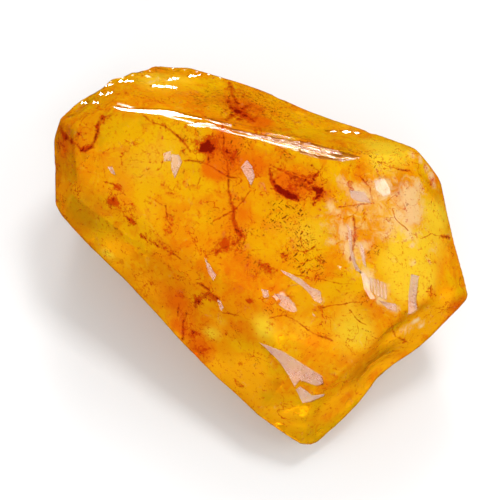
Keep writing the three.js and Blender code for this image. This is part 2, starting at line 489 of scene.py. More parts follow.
def drop_slivers(stone):
    """Deletes what the cuts have left loose."""
    lowest = int(vectors(stone.data.vertices, "co")[:, 2].argmin())
    edit_mesh(stone, select="DESELECT")
    stone.data.vertices[lowest].select = True
    edit_mesh(stone, bpy.ops.mesh.select_linked,
              lambda: bpy.ops.mesh.select_all(action="INVERT"),
              lambda: bpy.ops.mesh.delete(type="VERT"), select=None)


def break_flats(stone, rng):
    """Cuts the flats, and returns each one's plane and whether it is dull."""
    surface_under = surface_finder(stone)
    step_sets = growth_steps(rng)
    sets = [(KEY_LAMP, KEY_FLATS), (EYE_LAMP, EYE_FLATS), (NO_LAMP, QUIET_FLATS)]
    sets += [(KEY_SCRIM, [(USUAL_SHARE, True, steps)]) for steps in step_sets[:2]]
    sets += [(KEY_LAMP, [(USUAL_SHARE, False, steps)]) for steps in step_sets[2:]]
    planes = []
    for lamp, flats in sets:
        cutters = []
        for share, dull, outlines in flats:
            for outline in outlines:
                cutter, normal, height = flat_cutter(outline, lamp, surface_under, share)
                cutters.append(cutter)
                planes.append((normal, height, dull))
        cut(stone, cutters)
    drop_slivers(stone)
    return planes


def crease_flats(stone, planes):
    """The rim of each flat is a sharp edge, and the dull ones are marked."""
    mesh = stone.data
    normals, centres = vectors(mesh.polygons, "normal"), vectors(mesh.polygons, "center")
    flat_of = np.full(len(mesh.polygons), -1)
    for index, (normal, height, _) in enumerate(planes):
        on_plane = np.abs(centres @ np.array(normal) - height) < PLANE_GAP
        flat_of[on_plane & (normals @ np.array(normal) > SAME_WAY)] = index
    sides = {}
    for polygon in mesh.polygons:
        for key in polygon.edge_keys:
            sides.setdefault(key, set()).add(flat_of[polygon.index])
    select_only(stone)
    bpy.ops.object.shade_smooth_by_angle(angle=SMOOTH_ANGLE)
    for edge in mesh.edges:
        if len(sides.get(edge.key, ())) > 1:
            edge.use_edge_sharp = True
    layer = mesh.attributes.new("flat", "FLOAT", "FACE")
    dull_flats = [index for index, (_, _, dull) in enumerate(planes) if dull]
    layer.data.foreach_set("value", np.isin(flat_of, dull_flats).astype(np.float32))


# ---- Chips ----
# Shell-shaped chips along the edges: place on the view grid, radius and depth in millimetres.
CHIPS = [
    (113, 82, 0.7, 0.24), (122, 79, 1, 0.3), (132, 76, 0.8, 0.26), (141, 73.5, 0.7, 0.24),
    (151, 71.5, 0.8, 0.26), (162, 70.5, 0.9, 0.22), (173, 70, 0.8, 0.18), (184, 71, 0.9, 0.22),
    (196, 73, 0.8, 0.2), (207, 76, 1, 0.22), (219, 79.5, 0.9, 0.16), (158, 79, 0.6, 0.1),
    (143, 80, 0.7, 0.12), (240, 84, 1.4, 0.12), (150, 90, 0.7, 0.1), (345, 127, 1.2, 0.12),
    (300, 114, 1.6, 0.12), (463, 283, 1, 0.2), (448, 312, 1.4, 0.16), (56, 150, 1, 0.14),
    (58, 205, 0.9, 0.2), (118, 263, 1.6, 0.12), (200, 358, 1.5, 0.12), (368, 384, 0.9, 0.2),
    (350, 402, 1.1, 0.16), (320, 432, 1, 0.14), (280, 427, 1.2, 0.12), (296, 414, 0.4, 0.08),
]
CHIP_SQUASH = 0.75
# Those of the hidden sides: how many, radius and depth in millimetres, and how far apart they stay.
BACK_CHIPS = 26
CHIP_RADIUS = (0.8, 2.2)
CHIP_DEPTH = (0.06, 0.22)
CHIP_SPACING = 3.2 * MM
CHIP_LOWEST = 0.5 * MM
SEEN = 0.1  # a place is hidden when its normal leans to the eye by less than this cosine
EDGE_ANGLE = math.radians(28)  # an edge turns by at least this much
EDGE_REACH = 0.8 * MM  # over this distance to either side


def chip_cutter(place, normal, radius, depth):
    bpy.ops.object.select_all(action="DESELECT")
    bpy.ops.mesh.primitive_ico_sphere_add(subdivisions=4, radius=radius * MM)
    cutter = bpy.context.object
    cutter.scale = (1, 1, CHIP_SQUASH)
    cutter.rotation_euler = normal.to_track_quat("Z", "Y").to_euler()
    cutter.location = place + normal * (CHIP_SQUASH * radius - depth) * MM
    bpy.ops.object.transform_apply(location=True, rotation=True, scale=True)
    return cutter


def on_edge(tree, point, normal):
    """Whether the surface turns sharply at a point."""
    aside = normal.orthogonal().normalized() * EDGE_REACH
    one, other = (tree.find_nearest(place)[1] for place in (point + aside, point - aside))
    return one.angle(other) >= EDGE_ANGLE


def hidden_edge_places(stone, rng):
    """Places on the stone's worn edges that the view doesn't show, far enough apart."""
    tree = surface_tree(stone)
    chosen = []
    vertices = list(stone.data.vertices)
    rng.shuffle(vertices)
    for vertex in vertices:
        point, normal = vertex.co.copy(), vertex.normal.copy()
        if normal.dot(TOWARD) > SEEN or point.z < CHIP_LOWEST:
            continue
        if on_edge(tree, point, normal) and all((point - other).length > CHIP_SPACING for other, _ in chosen):
            chosen.append((point, normal))
        if len(chosen) == BACK_CHIPS:
            break
    return chosen


def chip_edges(stone, rng):
    tree = surface_tree(stone)
    rim = []
    for x, y, radius, depth in CHIPS:
        point, normal, _, _ = tree.ray_cast(EYE, view_line(x, y))
        if point:
            rim.append(chip_cutter(point, normal, radius, depth))
    # neighbours overlap, so they are cut in turn
    cut(stone, rim[::2])
    cut(stone, rim[1::2])
    behind = [chip_cutter(point, normal, rng.uniform(*CHIP_RADIUS), rng.uniform(*CHIP_DEPTH))
              for point, normal in hidden_edge_places(stone, rng)]
    cut(stone, behind)


# ---- Colour marks ----
# Spots by strength: place on the view grid, and reach in grid steps.
# Painted glow: brighter yellow spots that stand in for light shining through the stone.
PAINTED_GLOW = {
    0.9: [(402, 262, 26), (212, 334, 10)],
    0.5: [(388, 252, 14), (405, 290, 14), (436, 225, 20), (385, 150, 20), (432, 215, 18), (440, 252, 18),
        (352, 345, 22), (150, 82, 22), (365, 325, 20), (340, 325, 20), (385, 212, 22), (262, 325, 12),
        (263, 332, 14), (412, 272, 12)],
    0.7: [(425, 275, 20)],
    0.4: [(345, 125, 20), (168, 152, 34), (408, 158, 16), (185, 82, 14), (400, 235, 12), (345, 300, 14),
        (420, 290, 16), (380, 165, 16)],
    0.35: [(160, 90, 30), (125, 168, 34)],
    0.3: [(320, 240, 22), (85, 205, 20), (150, 225, 28), (300, 225, 24), (270, 228, 14), (355, 220, 16),
        (350, 375, 14), (302, 246, 18)],
    0.6: [(300, 330, 18), (222, 322, 8), (422, 207, 14), (422, 240, 16), (428, 286, 16)],
    0.45: [(378, 150, 26)],
    0.8: [(105, 253, 8)],
    0.2: [(200, 205, 26)],
}
# Painted light: spots where the colour is raised to a lighter amber, on faces that the lamps light too
# little.
LIT = {
    0.5: [(262, 355, 14), (65, 190, 16), (190, 80, 18)],
    0.6: [(262, 328, 16), (120, 255, 18), (110, 240, 18), (62, 150, 14), (300, 118, 26), (340, 132, 20),
        (160, 88, 28)],
    0.7: [(250, 366, 20), (150, 285, 20)],
    1: [(425, 312, 14), (408, 325, 14), (345, 395, 20), (385, 362, 20), (412, 338, 18), (438, 315, 16),
        (180, 325, 22), (215, 365, 24), (255, 385, 24), (330, 410, 22), (365, 380, 20), (400, 350, 20),
        (425, 325, 16)],
    0.9: [(392, 338, 12), (285, 415, 22)],
    0.8: [(445, 300, 14)],
    0.3: [(265, 105, 18), (220, 85, 16)],
    0.4: [(380, 165, 20), (410, 165, 14), (220, 325, 16)],
}
OLIVE = {
    0.7: [(84, 215, 20)],
    0.5: [(72, 198, 12), (112, 236, 18)],
    0.6: [(282, 404, 20)],
    0.4: [(268, 396, 12)],
    0.3: [(100, 190, 20)],
}
# Deeper orange: partly the stone's own tone, partly painted shade along the underside band by the lower right
# edge, which faces away from the lamps.
DEEP_TONE_AND_SHADE = {
    0.6: [(402, 354, 12), (375, 374, 12), (350, 394, 12), (430, 337, 9), (262, 128, 24), (240, 160, 26),
        (200, 352, 18), (294, 180, 13), (262, 165, 12), (225, 145, 14), (205, 345, 14), (250, 108, 14),
        (218, 172, 12), (430, 175, 10)],
    0.5: [(330, 414, 14), (446, 318, 10), (455, 305, 10), (300, 172, 28), (244, 275, 26), (198, 322, 18),
        (62, 148, 14), (66, 140, 14), (320, 195, 12)],
    0.7: [(232, 104, 26), (224, 124, 12), (262, 122, 12), (285, 182, 9)],
    0.4: [(228, 245, 24), (455, 300, 12), (235, 215, 12), (95, 140, 12), (345, 190, 10), (296, 190, 8)],
    0.3: [(232, 300, 30), (172, 262, 22), (240, 205, 20)],
    0.2: [(285, 200, 24)],
    0.35: [(160, 300, 24)],
    1: [(220, 165, 14)],
    0.8: [(182, 300, 16), (182, 328, 12)],
}
RUST = {
    0.6: [(62, 128, 5), (72, 142, 5), (114, 205, 5), (151, 240, 4), (214, 140, 6), (186, 150, 4),
        (262, 262, 5), (248, 300, 4), (190, 325, 5), (212, 349, 4), (252, 301, 4), (403, 342, 5),
        (84, 150, 4.5), (81, 137, 4), (112, 201, 6), (145, 234, 4.5), (155, 283, 5), (181, 296, 5),
        (431, 293, 5), (349, 188, 5)],
    0.3: [(92, 126, 3), (283, 152, 8), (222, 246, 10), (212, 252, 9), (273, 274, 6), (190, 340, 6),
        (205, 363, 8), (124, 93, 8), (178, 180, 5), (172, 190, 5)],
    0.4: [(100, 121, 4), (120, 190, 4), (172, 268, 5), (296, 193, 8), (277, 168, 6), (229, 336, 5),
        (290, 186, 8), (256, 271, 5), (96, 134, 4), (94, 146, 3.5), (106, 115, 8), (133, 206, 5),
        (118, 186, 6), (190, 126, 4), (165, 126, 5), (330, 152, 5)],
    0.5: [(88, 147, 3), (122, 210, 4), (166, 251, 4), (166, 232, 4), (200, 140, 5), (225, 245, 6),
        (207, 350, 5), (230, 90, 9), (252, 120, 9), (262, 131, 9), (228, 152, 9), (234, 160, 7),
        (312, 181, 7), (269, 268, 7), (212, 297, 6), (241, 384, 5), (318, 306, 5), (160, 245, 5),
        (175, 255, 5), (168, 217, 5), (171, 225, 5), (121, 260, 4), (431, 181, 6), (425, 167, 4),
        (60, 146, 6), (186, 138, 5), (152, 121, 5), (352, 235, 6)],
    0.9: [(238, 113, 11)],
    0.8: [(209, 149, 9)],
    0.15: [(300, 172, 12)],
    0.7: [(318, 196, 7), (283, 256, 5), (66, 136, 6), (130, 219, 5)],
    0.45: [(238, 240, 9)],
    0.65: [(199, 301, 8), (194, 333, 6)],
    0.35: [(200, 352, 8)],
}
DARK = {
    0.5: [(270, 165, 1.3), (280, 170, 1.6), (251, 119, 3.5), (403, 342, 1.8), (290, 160, 1.6)],
    0.6: [(270.5, 169, 1.4), (323, 197, 1.8), (303, 176, 1.6), (297, 181, 1.8), (291, 178, 1.6),
        (286, 173, 1.6), (322, 184, 1.6), (311, 188, 1.8), (214, 146, 2), (256, 131, 2.2), (205, 298, 2),
        (97, 127, 1.8)],
    0.7: [(271, 173, 1.5), (299, 200, 2.2), (231, 115, 3), (238, 103, 3), (78, 135, 2), (233, 160, 2),
        (264, 130, 2), (241, 238, 2), (147, 238, 1.8), (194, 333, 2.2), (227, 335, 1.8), (431, 293, 1.8),
        (268, 266, 2.2), (158, 246, 2.2), (316, 169, 1.6)],
    0.8: [(272.5, 177, 1.7), (314, 188, 2.2), (322, 189, 2), (305, 180, 2.2), (317, 176, 1.8),
        (231, 108, 3), (243, 108, 3), (245, 116, 3.5), (239, 119, 3), (208, 142, 2.4), (228, 152, 2.6),
        (112, 199, 2.6), (283, 254, 2.2), (312, 166, 1.8)],
    0.9: [(274, 181, 2), (318, 190.5, 2.6), (317, 198, 2.6), (314, 203, 2.4), (309, 183, 2.2),
        (313, 180, 2), (202, 149, 3), (66, 137, 2.6), (83, 150, 2.8), (234, 209, 2.4), (142, 236, 2.4),
        (130, 220, 2.2), (199, 302, 2.8), (283, 354, 2)],
    1: [(276.5, 186, 2.4), (287, 194.5, 3.3), (291, 196.5, 3.4), (211, 150, 3.2)],
    1.1: [(279, 189.5, 2.7)],
    0.95: [(283, 192, 3), (295, 198.5, 3), (320.5, 194, 2.8)],
    1.2: [(238, 112, 4.6), (206, 147, 4.4)],
}
SWARM = {
    1: [(240, 112, 26)],
    0.45: [(298, 236, 15)],
    0.7: [(270, 105, 24), (215, 95, 20), (285, 140, 20), (250, 100, 20)],
    0.6: [(285, 120, 20), (75, 135, 12), (205, 105, 14), (284, 206, 10), (62, 145, 14), (397, 273, 8),
        (240, 145, 14)],
    0.5: [(280, 215, 14), (90, 165, 12), (300, 212, 12), (240, 190, 14), (330, 130, 16), (190, 145, 14),
        (310, 250, 12)],
    0.4: [(258, 235, 12), (312, 262, 12), (112, 226, 12), (350, 150, 16), (215, 215, 12), (230, 160, 14),
        (320, 275, 12), (200, 330, 12), (110, 195, 16), (255, 270, 16), (245, 240, 14), (380, 165, 14),
        (270, 220, 12), (290, 255, 14), (180, 120, 14)],
}
# Painted sheen: pale peach haze that stands in for reflections on the right faces, and painted highlights
# along the far corner's rim.
PAINTED_SHEEN = {
    0.22: [(360, 200, 24)],
    0.28: [(400, 205, 26)],
    0.3: [(350, 240, 20), (405, 190, 12), (418, 210, 14), (386, 236, 8), (338, 178, 5), (336, 140, 6)],
    0.2: [(392, 228, 20), (335, 215, 20), (415, 225, 18), (365, 270, 14)],
    0.15: [(375, 220, 22), (380, 175, 18)],
    0.4: [(422, 322, 10), (405, 328, 9), (345, 184, 6), (398, 218, 7), (386, 286, 5), (330, 206, 5),
        (337, 212, 5), (331, 242, 5), (434, 246, 7), (428, 262, 5), (395, 262, 5), (150, 82, 8),
        (164, 80, 5)],
    0.9: [(420, 160, 4), (410, 200, 9), (346, 232, 6), (348, 246, 6), (390, 305, 6), (412, 310, 5),
        (416, 320, 4.5)],
    1: [(426, 168, 4.5), (431, 177, 4.5), (360, 196, 9)],
    0.8: [(434, 186, 4), (412, 216, 8), (351, 258, 6), (368, 278, 6), (414, 282, 4), (413, 296, 4.5)],
    0.6: [(412, 154, 4), (382, 292, 7)],
    1.3: [(382, 188, 8)],
    0.5: [(353, 192, 6), (407, 232, 7), (413, 246, 4), (413, 263, 4)],
    0.7: [(418, 186, 8), (362, 246, 5), (362, 258, 4.5), (362, 272, 6), (374, 286, 7), (380, 300, 6),
        (395, 309, 4), (421, 326, 4)],
    0.35: [(322, 300, 6)],
}
# The spots of each layer, by how they wander from their places: the size and the distance of each pattern
# in millimetres, and its seed.
SPOT_LAYERS = [
    ([(2.2, 0.5, 3), (0.7, 0.22, 8)], {"lit": LIT, "olive": OLIVE, "rust": RUST, "swarm": SWARM}),
    ([(5, 1, 5)], {"painted_glow": PAINTED_GLOW}),
    ([(4, 1, 6)], {"deep_tone_and_shade": DEEP_TONE_AND_SHADE}),
    ([(1.2, 0.2, 9)], {"painted_sheen": PAINTED_SHEEN}),
    ([(0.6, 0.15, 4)], {"dark": DARK}),
]
# Veins: breadth, strength, then the places that the vein runs through.
VEINS = [
    (1.01, 0.8, [(230, 82), (231, 92), (235.5, 100), (236.5, 110)]),
    (1.1, 0.8, [(222.8, 126), (224, 135), (223.5, 151), (226.8, 162), (228.8, 175), (228.8, 188.6),
     (230.8, 201)]),
    (2.3, 1, [(230.8, 201), (233, 208.7), (233.5, 218), (236, 227.5), (241.5, 238)]),
    (1.25, 0.6, [(241.5, 238), (236, 243), (226, 247), (214, 253), (206, 256)]),
    (0.78, 0.9, [(213, 221.5), (222, 216), (231, 211), (237.5, 207)]),
    (0.55, 0.7, [(237.5, 207), (244, 199), (251, 191)]),
    (1.17, 0.7, [(143.7, 115.6), (151.8, 122.3), (163.8, 125.6), (170.5, 129.6), (181, 139), (186.6, 145.7),
     (190.6, 152.4)]),
    (0.94, 0.7, [(184, 160.4), (194.6, 160.4), (204, 163), (212, 167), (221.4, 172.5), (229.5, 178),
     (236, 178)]),
    (0.94, 0.8, [(208, 152.4), (209.4, 161.8)]),
    (0.86, 0.7, [(157, 169.8), (161, 167), (162.5, 161.8)]),
    (0.6, 0.6, [(393, 209.4), (394.6, 217), (402, 226), (408, 230)]),
    (0.6, 0.45, [(411.4, 232.4), (420.6, 238.5), (431.3, 234), (440.5, 236)]),
    (1.1, 0.8, [(440.5, 236), (449.7, 237.7), (453.5, 235.4)]),
    (0.78, 0.6, [(373, 203.3), (362.5, 204), (347, 206.3), (338, 207)]),
    (0.78, 0.7, [(377.8, 162), (387, 166.5), (400.7, 169.6), (410, 170.4)]),
    (0.86, 0.75, [(361, 177), (365, 182), (367.8, 185)]),
    (0.78, 0.6, [(370, 188), (371.6, 200)]),
    (1.56, 0.55, [(353.3, 217), (355.6, 235.4), (352.5, 250.7), (350.3, 260)]),
    (0.78, 0.5, [(290.6, 274), (319, 278.7), (335, 283), (351, 284.3)]),
    (1.01, 0.65, [(270, 318.6), (277, 316), (285.8, 315.4), (292, 318), (298.6, 323.3), (309.7, 331.3),
     (332, 341)]),
    (0.78, 0.6, [(320.9, 308.2), (341.6, 303.4), (362.3, 301.8)]),
    (0.78, 0.55, [(349.6, 310.6), (357.6, 320), (365.5, 325)]),
    (0.78, 0.5, [(389.5, 320), (395.8, 336), (407, 342.5)]),
    (1.01, 0.9, [(186.3, 312.3), (183.5, 323.5), (183, 333), (182.5, 340), (185, 349)]),
    (1.01, 0.6, [(179, 304), (177.6, 315.5)]),
    (1.17, 0.8, [(196.7, 282), (203, 285), (209.4, 290)]),
    (1.87, 0.9, [(195.9, 307), (197, 301), (201.5, 297.5), (207, 296), (212.6, 294.8), (219, 299.6)]),
    (0.94, 0.6, [(222, 312.3), (229, 313), (236.6, 315.5)]),
    (1.09, 0.5, [(105, 182), (114.3, 184.5), (125, 195.3)]),
    (1.4, 1, [(269.5, 164), (270.5, 175.7), (273, 183), (276.7, 188), (285.9, 194), (296.6, 200)]),
    (0.94, 0.8, [(288, 174), (296, 181), (305, 184), (312, 183)]),
    (1.3, 0.9, [(273, 166), (284, 171), (295, 177), (302, 181)]),
    (1.2, 0.8, [(299, 175), (306, 178), (313, 176), (318, 173)]),
    (1.1, 0.8, [(303, 186), (309, 190), (316, 188)]),
    (1, 0.7, [(290, 183), (298, 186), (305, 185)]),
    (1.3, 0.9, [(238, 113), (232, 106), (228, 100)]),
    (1.3, 0.9, [(238, 113), (246, 117), (254, 121)]),
    (1.1, 0.8, [(238, 113), (231, 116), (226, 120)]),
    (1.1, 0.8, [(238, 113), (245, 107), (251, 104)]),
    (0.94, 0.6, [(292, 172), (302, 176), (309, 176)]),
    (0.94, 0.7, [(126, 217), (130, 220), (136, 224)]),
    (0.78, 0.7, [(168, 251.5), (175, 254.5), (181, 258.5)]),
    (1.01, 0.6, [(165.5, 205), (166, 213), (168, 220), (172, 226)]),
    (1.7, 0.8, [(113, 115), (104, 117.5), (98.5, 123), (97, 133), (94, 142), (89, 148), (83, 150.5)]),
    (1.3, 0.7, [(61, 131), (66, 138), (73, 142), (79, 147), (83, 150)]),
    (0.78, 0.6, [(300, 238), (302, 246), (306, 250)]),
    (0.78, 0.6, [(293, 251), (303, 252), (310, 250), (315, 245)]),
    (0.78, 0.5, [(188, 184), (190, 190)]),
    (0.78, 0.7, [(198, 184), (200, 178)]),
    (1.09, 0.45, [(150, 197), (162, 205)]),
    (0.78, 0.6, [(427, 291), (431, 293), (436, 295)]),
    (0.78, 0.6, [(431, 286), (431, 293), (433, 300)]),
]
VEIN_WANDER = [(0.8, 0.12, 2)]
# The bands along the ridge that carry growth lines: half width in grid steps, strength, places.
RIDGE_BANDS = [
    (3, 0.15, [(100, 107), (150, 112), (206, 121)]),
    (6, 1, [(222, 123), (250, 131), (275, 138), (300, 145), (330, 152), (360, 158), (400, 162)]),
]
RIDGE_ENDS = ((240, 131), (350, 156))  # they give the growth lines their direction
LINE_REACH = 0.6 * MM
LINE_STEP = 4  # a line is laid on the surface at least this often, in grid steps
LINE_FADE = 0.2 * MM  # how far a line fades past its end
NEARER = 1e-7  # a point changes to another line only if it lies nearer by this, in metres
SINK = 0.2  # a mark's middle lies this share of its reach below the surface


def wander(points, patterns):
    for size, distance, seed in patterns:
        moved = np.empty_like(points)
        shift = Vector((seed, 2 * seed, -seed))
        for index, point in enumerate(points):
            moved[index] = noise.noise_vector(Vector(point) / (size * MM) + shift)
        points = points + moved * (distance * MM)
    return points


def spot_field(points, spots, surface_under):
    field = np.zeros(len(points))
    for strength, places in spots.items():
        for x, y, steps in places:
            reach = steps * VIEW_STEP
            middle = surface_under(x, y)
            if middle:
                gap = points - np.array(middle - TOWARD * reach * SINK)
                field += strength * np.exp(-(gap ** 2).sum(1) / reach ** 2)
    return field


def laid_line(places, surface_under):
    """Points along a line on the surface."""
    found = []
    for start, end in zip(places, places[1:]):
        steps = max(1, round(math.dist(start, end) / LINE_STEP))
        found += [surface_under(*between(start, end, i / steps)) for i in range(steps)]
    found.append(surface_under(*places[-1]))
    return [np.array(p) for p in found if p is not None]


def line_fields(points, lines, surface_under):
    """How strong the nearest line is at each point, and how far aside of it the point lies, in millimetres
    for a line of breadth 1."""
    strengths = np.zeros(len(points))
    across = np.ones(len(points))
    nearest = np.full(len(points), LINE_REACH)
    for breadth, strength, places in lines:
        laid = laid_line(places, surface_under)
        for a, b in zip(laid, laid[1:]):
            along = b - a
            length = np.linalg.norm(along)
            near = np.nonzero(((points - (a + b) / 2) ** 2).sum(1) < (LINE_REACH + length) ** 2)[0]
            share = (points[near] - a) @ along / length ** 2
            gap = np.linalg.norm(points[near] - a - np.clip(share, 0, 1)[:, None] * along, axis=1)
            side = (points[near] - a) @ np.cross(np.array(TOWARD), along / length)
            closer = gap < nearest[near] - NEARER
            chosen = near[closer]
            nearest[chosen] = gap[closer]
            across[chosen] = side[closer] / (breadth * MM)
            past_end = np.maximum(0, np.maximum(-share, share - 1)[closer] * length)
            strengths[chosen] = strength * np.clip(1 - past_end / LINE_FADE, 0, 1)
    strengths *= np.clip(2 - 2 * nearest / LINE_REACH, 0, 1)
    return strengths, across


def band_field(points, bands, surface_under):
    """Strength along broad bands, fading to their sides."""
    field = np.zeros(len(points))
    for half_width, strength, places in bands:
        for middle in laid_line(places, surface_under):
            gap = np.linalg.norm(points - middle, axis=1) / (half_width * VIEW_STEP)
            field = np.maximum(field, strength * np.clip(2 - gap, 0, 1))
    return field


def paint_marks(stone):
    surface_under = surface_finder(stone)
    points = vectors(stone.data.vertices, "co")
    fields = {}
    for patterns, layers in SPOT_LAYERS:
        moved = wander(points, patterns)
        for name, spots in layers.items():
            fields[name] = spot_field(moved, spots, surface_under)
    fields["striae"] = band_field(points, RIDGE_BANDS, surface_under)
    fields["vein"], fields["across"] = line_fields(wander(points, VEIN_WANDER), VEINS, surface_under)
    for name, field in fields.items():
        layer = stone.data.attributes.new(name, "FLOAT", "POINT")
        layer.data.foreach_set("value", np.clip(field, -1, 1).astype(np.float32))


# ---- Sapphire material ----
AMBER = (0.90, 0.35, 0.002)
YELLOW = (0.92, 0.54, 0.002)
# colour of the painted glow
PAINTED_GLOW_YELLOW = (1, 0.75, 0.03)
# colour of the painted light
LIT_AMBER = (1, 0.46, 0.004)
# colour of the painted sheen
SHEEN_PEACH = (1, 0.80, 0.42)
OLIVE_YELLOW = (0.72, 0.42, 0.002)
ORANGE = (0.86, 0.17, 0.002)
RUST_RED = (0.58, 0.036, 0.001)
RUST_BROWN = (0.11, 0.003, 0.001)
DARK_RUST = (0.19, 0.002, 0.001)
# pale colour of the dull broken flats, which also stands in for the soft sheen they show
BREAK_AND_SHEEN = (0.50, 0.21, 0.09)
GLASSY = 0.06
SAPPHIRE_IOR = 1.76
CLEARNESS = 0.6
LIT_CLOUDINESS = 0.2  # where light is painted into the colour (the lit spots), the stone is this much less clear
ABSORPTION_COLOUR = (1.0, 0.76, 0.1)
ABSORPTION_DENSITY = 30
# Heights of the relief that is too fine for the mesh.
WORN_RELIEF = 0.02 * MM
BROKEN_RELIEF = 0.025 * MM
GROWTH_RELIEF = 0.11 * MM


class Nodes:
    """Short calls for building a material's nodes. Noise scales are in cells to the millimetre."""

    def __init__(self, material):
        material.use_nodes = True
        self.tree = material.node_tree
        self.shader = self.tree.nodes["Principled BSDF"]

    def set(self, socket, value):
        """Links a socket to another node's output, or gives it a plain value."""
        if hasattr(value, "links"):
            self.tree.links.new(value, socket)
        elif socket.type == "RGBA":
            socket.default_value = (*value, 1)
        else:
            socket.default_value = value

    def add(self, kind, output, inputs=None, **settings):
        node = self.tree.nodes.new(kind)
        for name, value in settings.items():
            setattr(node, name, value)
        for name, value in (inputs or {}).items():
            self.set(node.inputs[name], value)
        return node.outputs[output]

    def attribute(self, name):
        return self.add("ShaderNodeAttribute", "Fac", attribute_name=name)

    def here(self):
        return self.add("ShaderNodeTexCoord", "Object")

    def place(self, stretch=(1, 1, 1), turn=(0, 0, 0), offset=(0, 0, 0)):
        """Object coordinates in millimetres, turned, stretched and shifted."""
        return self.add("ShaderNodeMapping", "Vector", {
            "Vector": self.here(),
            "Scale": [s / MM for s in stretch],
            "Rotation": [math.radians(t) for t in turn],
            "Location": offset,
        })

    def along(self, axis, scale):
        """How far a point lies along axis, in steps of scale to the millimetre."""
        return self.add("ShaderNodeVectorMath", "Value", {0: self.here(), 1: axis * scale / MM},
                        operation="DOT_PRODUCT")

    def combine(self, x, y, z):
        return self.add("ShaderNodeCombineXYZ", "Vector", {0: x, 1: y, 2: z})

    def noise(self, place, scale, detail, roughness=0.5, distortion=0):
        return self.add("ShaderNodeTexNoise", "Fac", {
            "Vector": place,
            "Scale": scale,
            "Detail": detail,
            "Roughness": roughness,
            "Distortion": distortion,
        })

    def math(self, operation, a, b=0.0):
        return self.add("ShaderNodeMath", 0, {0: a, 1: b}, operation=operation)

    def plus(self, a, b):
        return self.math("ADD", a, b)

    def minus(self, a, b):
        return self.math("SUBTRACT", a, b)

    def times(self, a, b):
        return self.math("MULTIPLY", a, b)

    def swing(self, grain, amount):
        """A noise's distance from its middle value, times amount."""
        return self.times(self.minus(grain, 0.5), amount)

    def band(self, value, low, high, step="SMOOTHSTEP"):
        """0 below low, 1 above high."""
        return self.add("ShaderNodeMapRange", "Result", {"Value": value, "From Min": low, "From Max": high},
                        interpolation_type=step)

    def mix(self, share, a, b):
        return self.add("ShaderNodeMix", "Result", {"Factor": share, "A": a, "B": b}, data_type="RGBA")

    def bump(self, height, distance, strength=1.0, **below):
        """Relief of a height. Below may give the Normal that it is laid on."""
        return self.add("ShaderNodeBump", "Normal",
                        {"Strength": strength, "Distance": distance, "Height": height, **below})


def rough_edged(n, mark, grain, spread, low, high):
    """A mark, or the one painted under that name, with its edge broken up by a grain."""
    mark = n.attribute(mark) if isinstance(mark, str) else mark
    return n.band(n.plus(mark, n.swing(grain, spread)), low, high)


def speckle(n, cloud):
    """Swarms of tiny dark grains, some drawn out to short dashes."""
    stray = n.band(n.noise(n.place(offset=(4, 9, 2)), 0.4, 2), 0.52, 0.7)
    here = n.plus(n.attribute("swarm"), n.times(stray, 0.4))
    swarm = rough_edged(n, here, cloud, 1.6, 0.25, 0.7)
    grains = n.band(n.noise(n.place(), 6.5, 2), 0.625, 0.665)
    dashes = n.band(n.noise(n.place((1, 0.3, 1), (20, 0, 55)), 5, 2), 0.625, 0.67)
    crossing = n.band(n.noise(n.place((0.3, 1, 1), (0, 15, 30)), 5.4, 2), 0.63, 0.675)
    marks = n.math("MAXIMUM", grains, n.math("MAXIMUM", dashes, crossing))
    return n.times(n.times(marks, swarm), 0.9)


def hairlines(n, scale, offset, width):
    """Thin wandering healed cracks, present only here and there."""
    path = n.noise(n.place(offset=offset), scale, 5, 0.55, 0.4)
    line = n.math("ABSOLUTE", n.minus(path, 0.5))
    present = n.band(n.noise(n.place(offset=offset[::-1]), scale * 1.3, 1), 0.5, 0.62)
    return n.times(n.minus(1.0, n.band(line, width * 0.3, width)), present)


def vein_lines(n, grain, fine):
    """The rust halo and the dark core of each vein. Both come and go along it."""
    gap = n.math("ABSOLUTE", n.plus(n.attribute("across"), n.swing(fine, 0.22)))
    patchy = n.noise(n.place(offset=(1, 6, 3)), 0.9, 3, 0.6)
    present = n.plus(0.45, n.times(n.band(patchy, 0.3, 0.52), 0.55))
    strength = n.times(n.attribute("vein"), present)
    wide = n.times(n.minus(n.times(grain, 0.62), 0.10), strength)
    halo = n.times(n.minus(1.0, n.band(gap, 0.0, wide, "LINEAR")), strength)
    thick = n.math("LESS_THAN", gap, n.times(wide, 0.3))
    core = n.times(thick, n.times(n.band(grain, 0.44, 0.58), n.band(patchy, 0.36, 0.5)))
    return n.math("POWER", halo, 0.6), n.times(core, strength)


def clots(n, mark, grain, fine):
    """A rust stain round a painted mark, and the jagged dark clot in it."""
    stain = rough_edged(n, mark, grain, 1.9, 0.12, 0.6)
    clot = rough_edged(n, n.plus(mark, n.swing(grain, 1.6)), fine, 1.5, 0.42, 0.66)
    return stain, clot


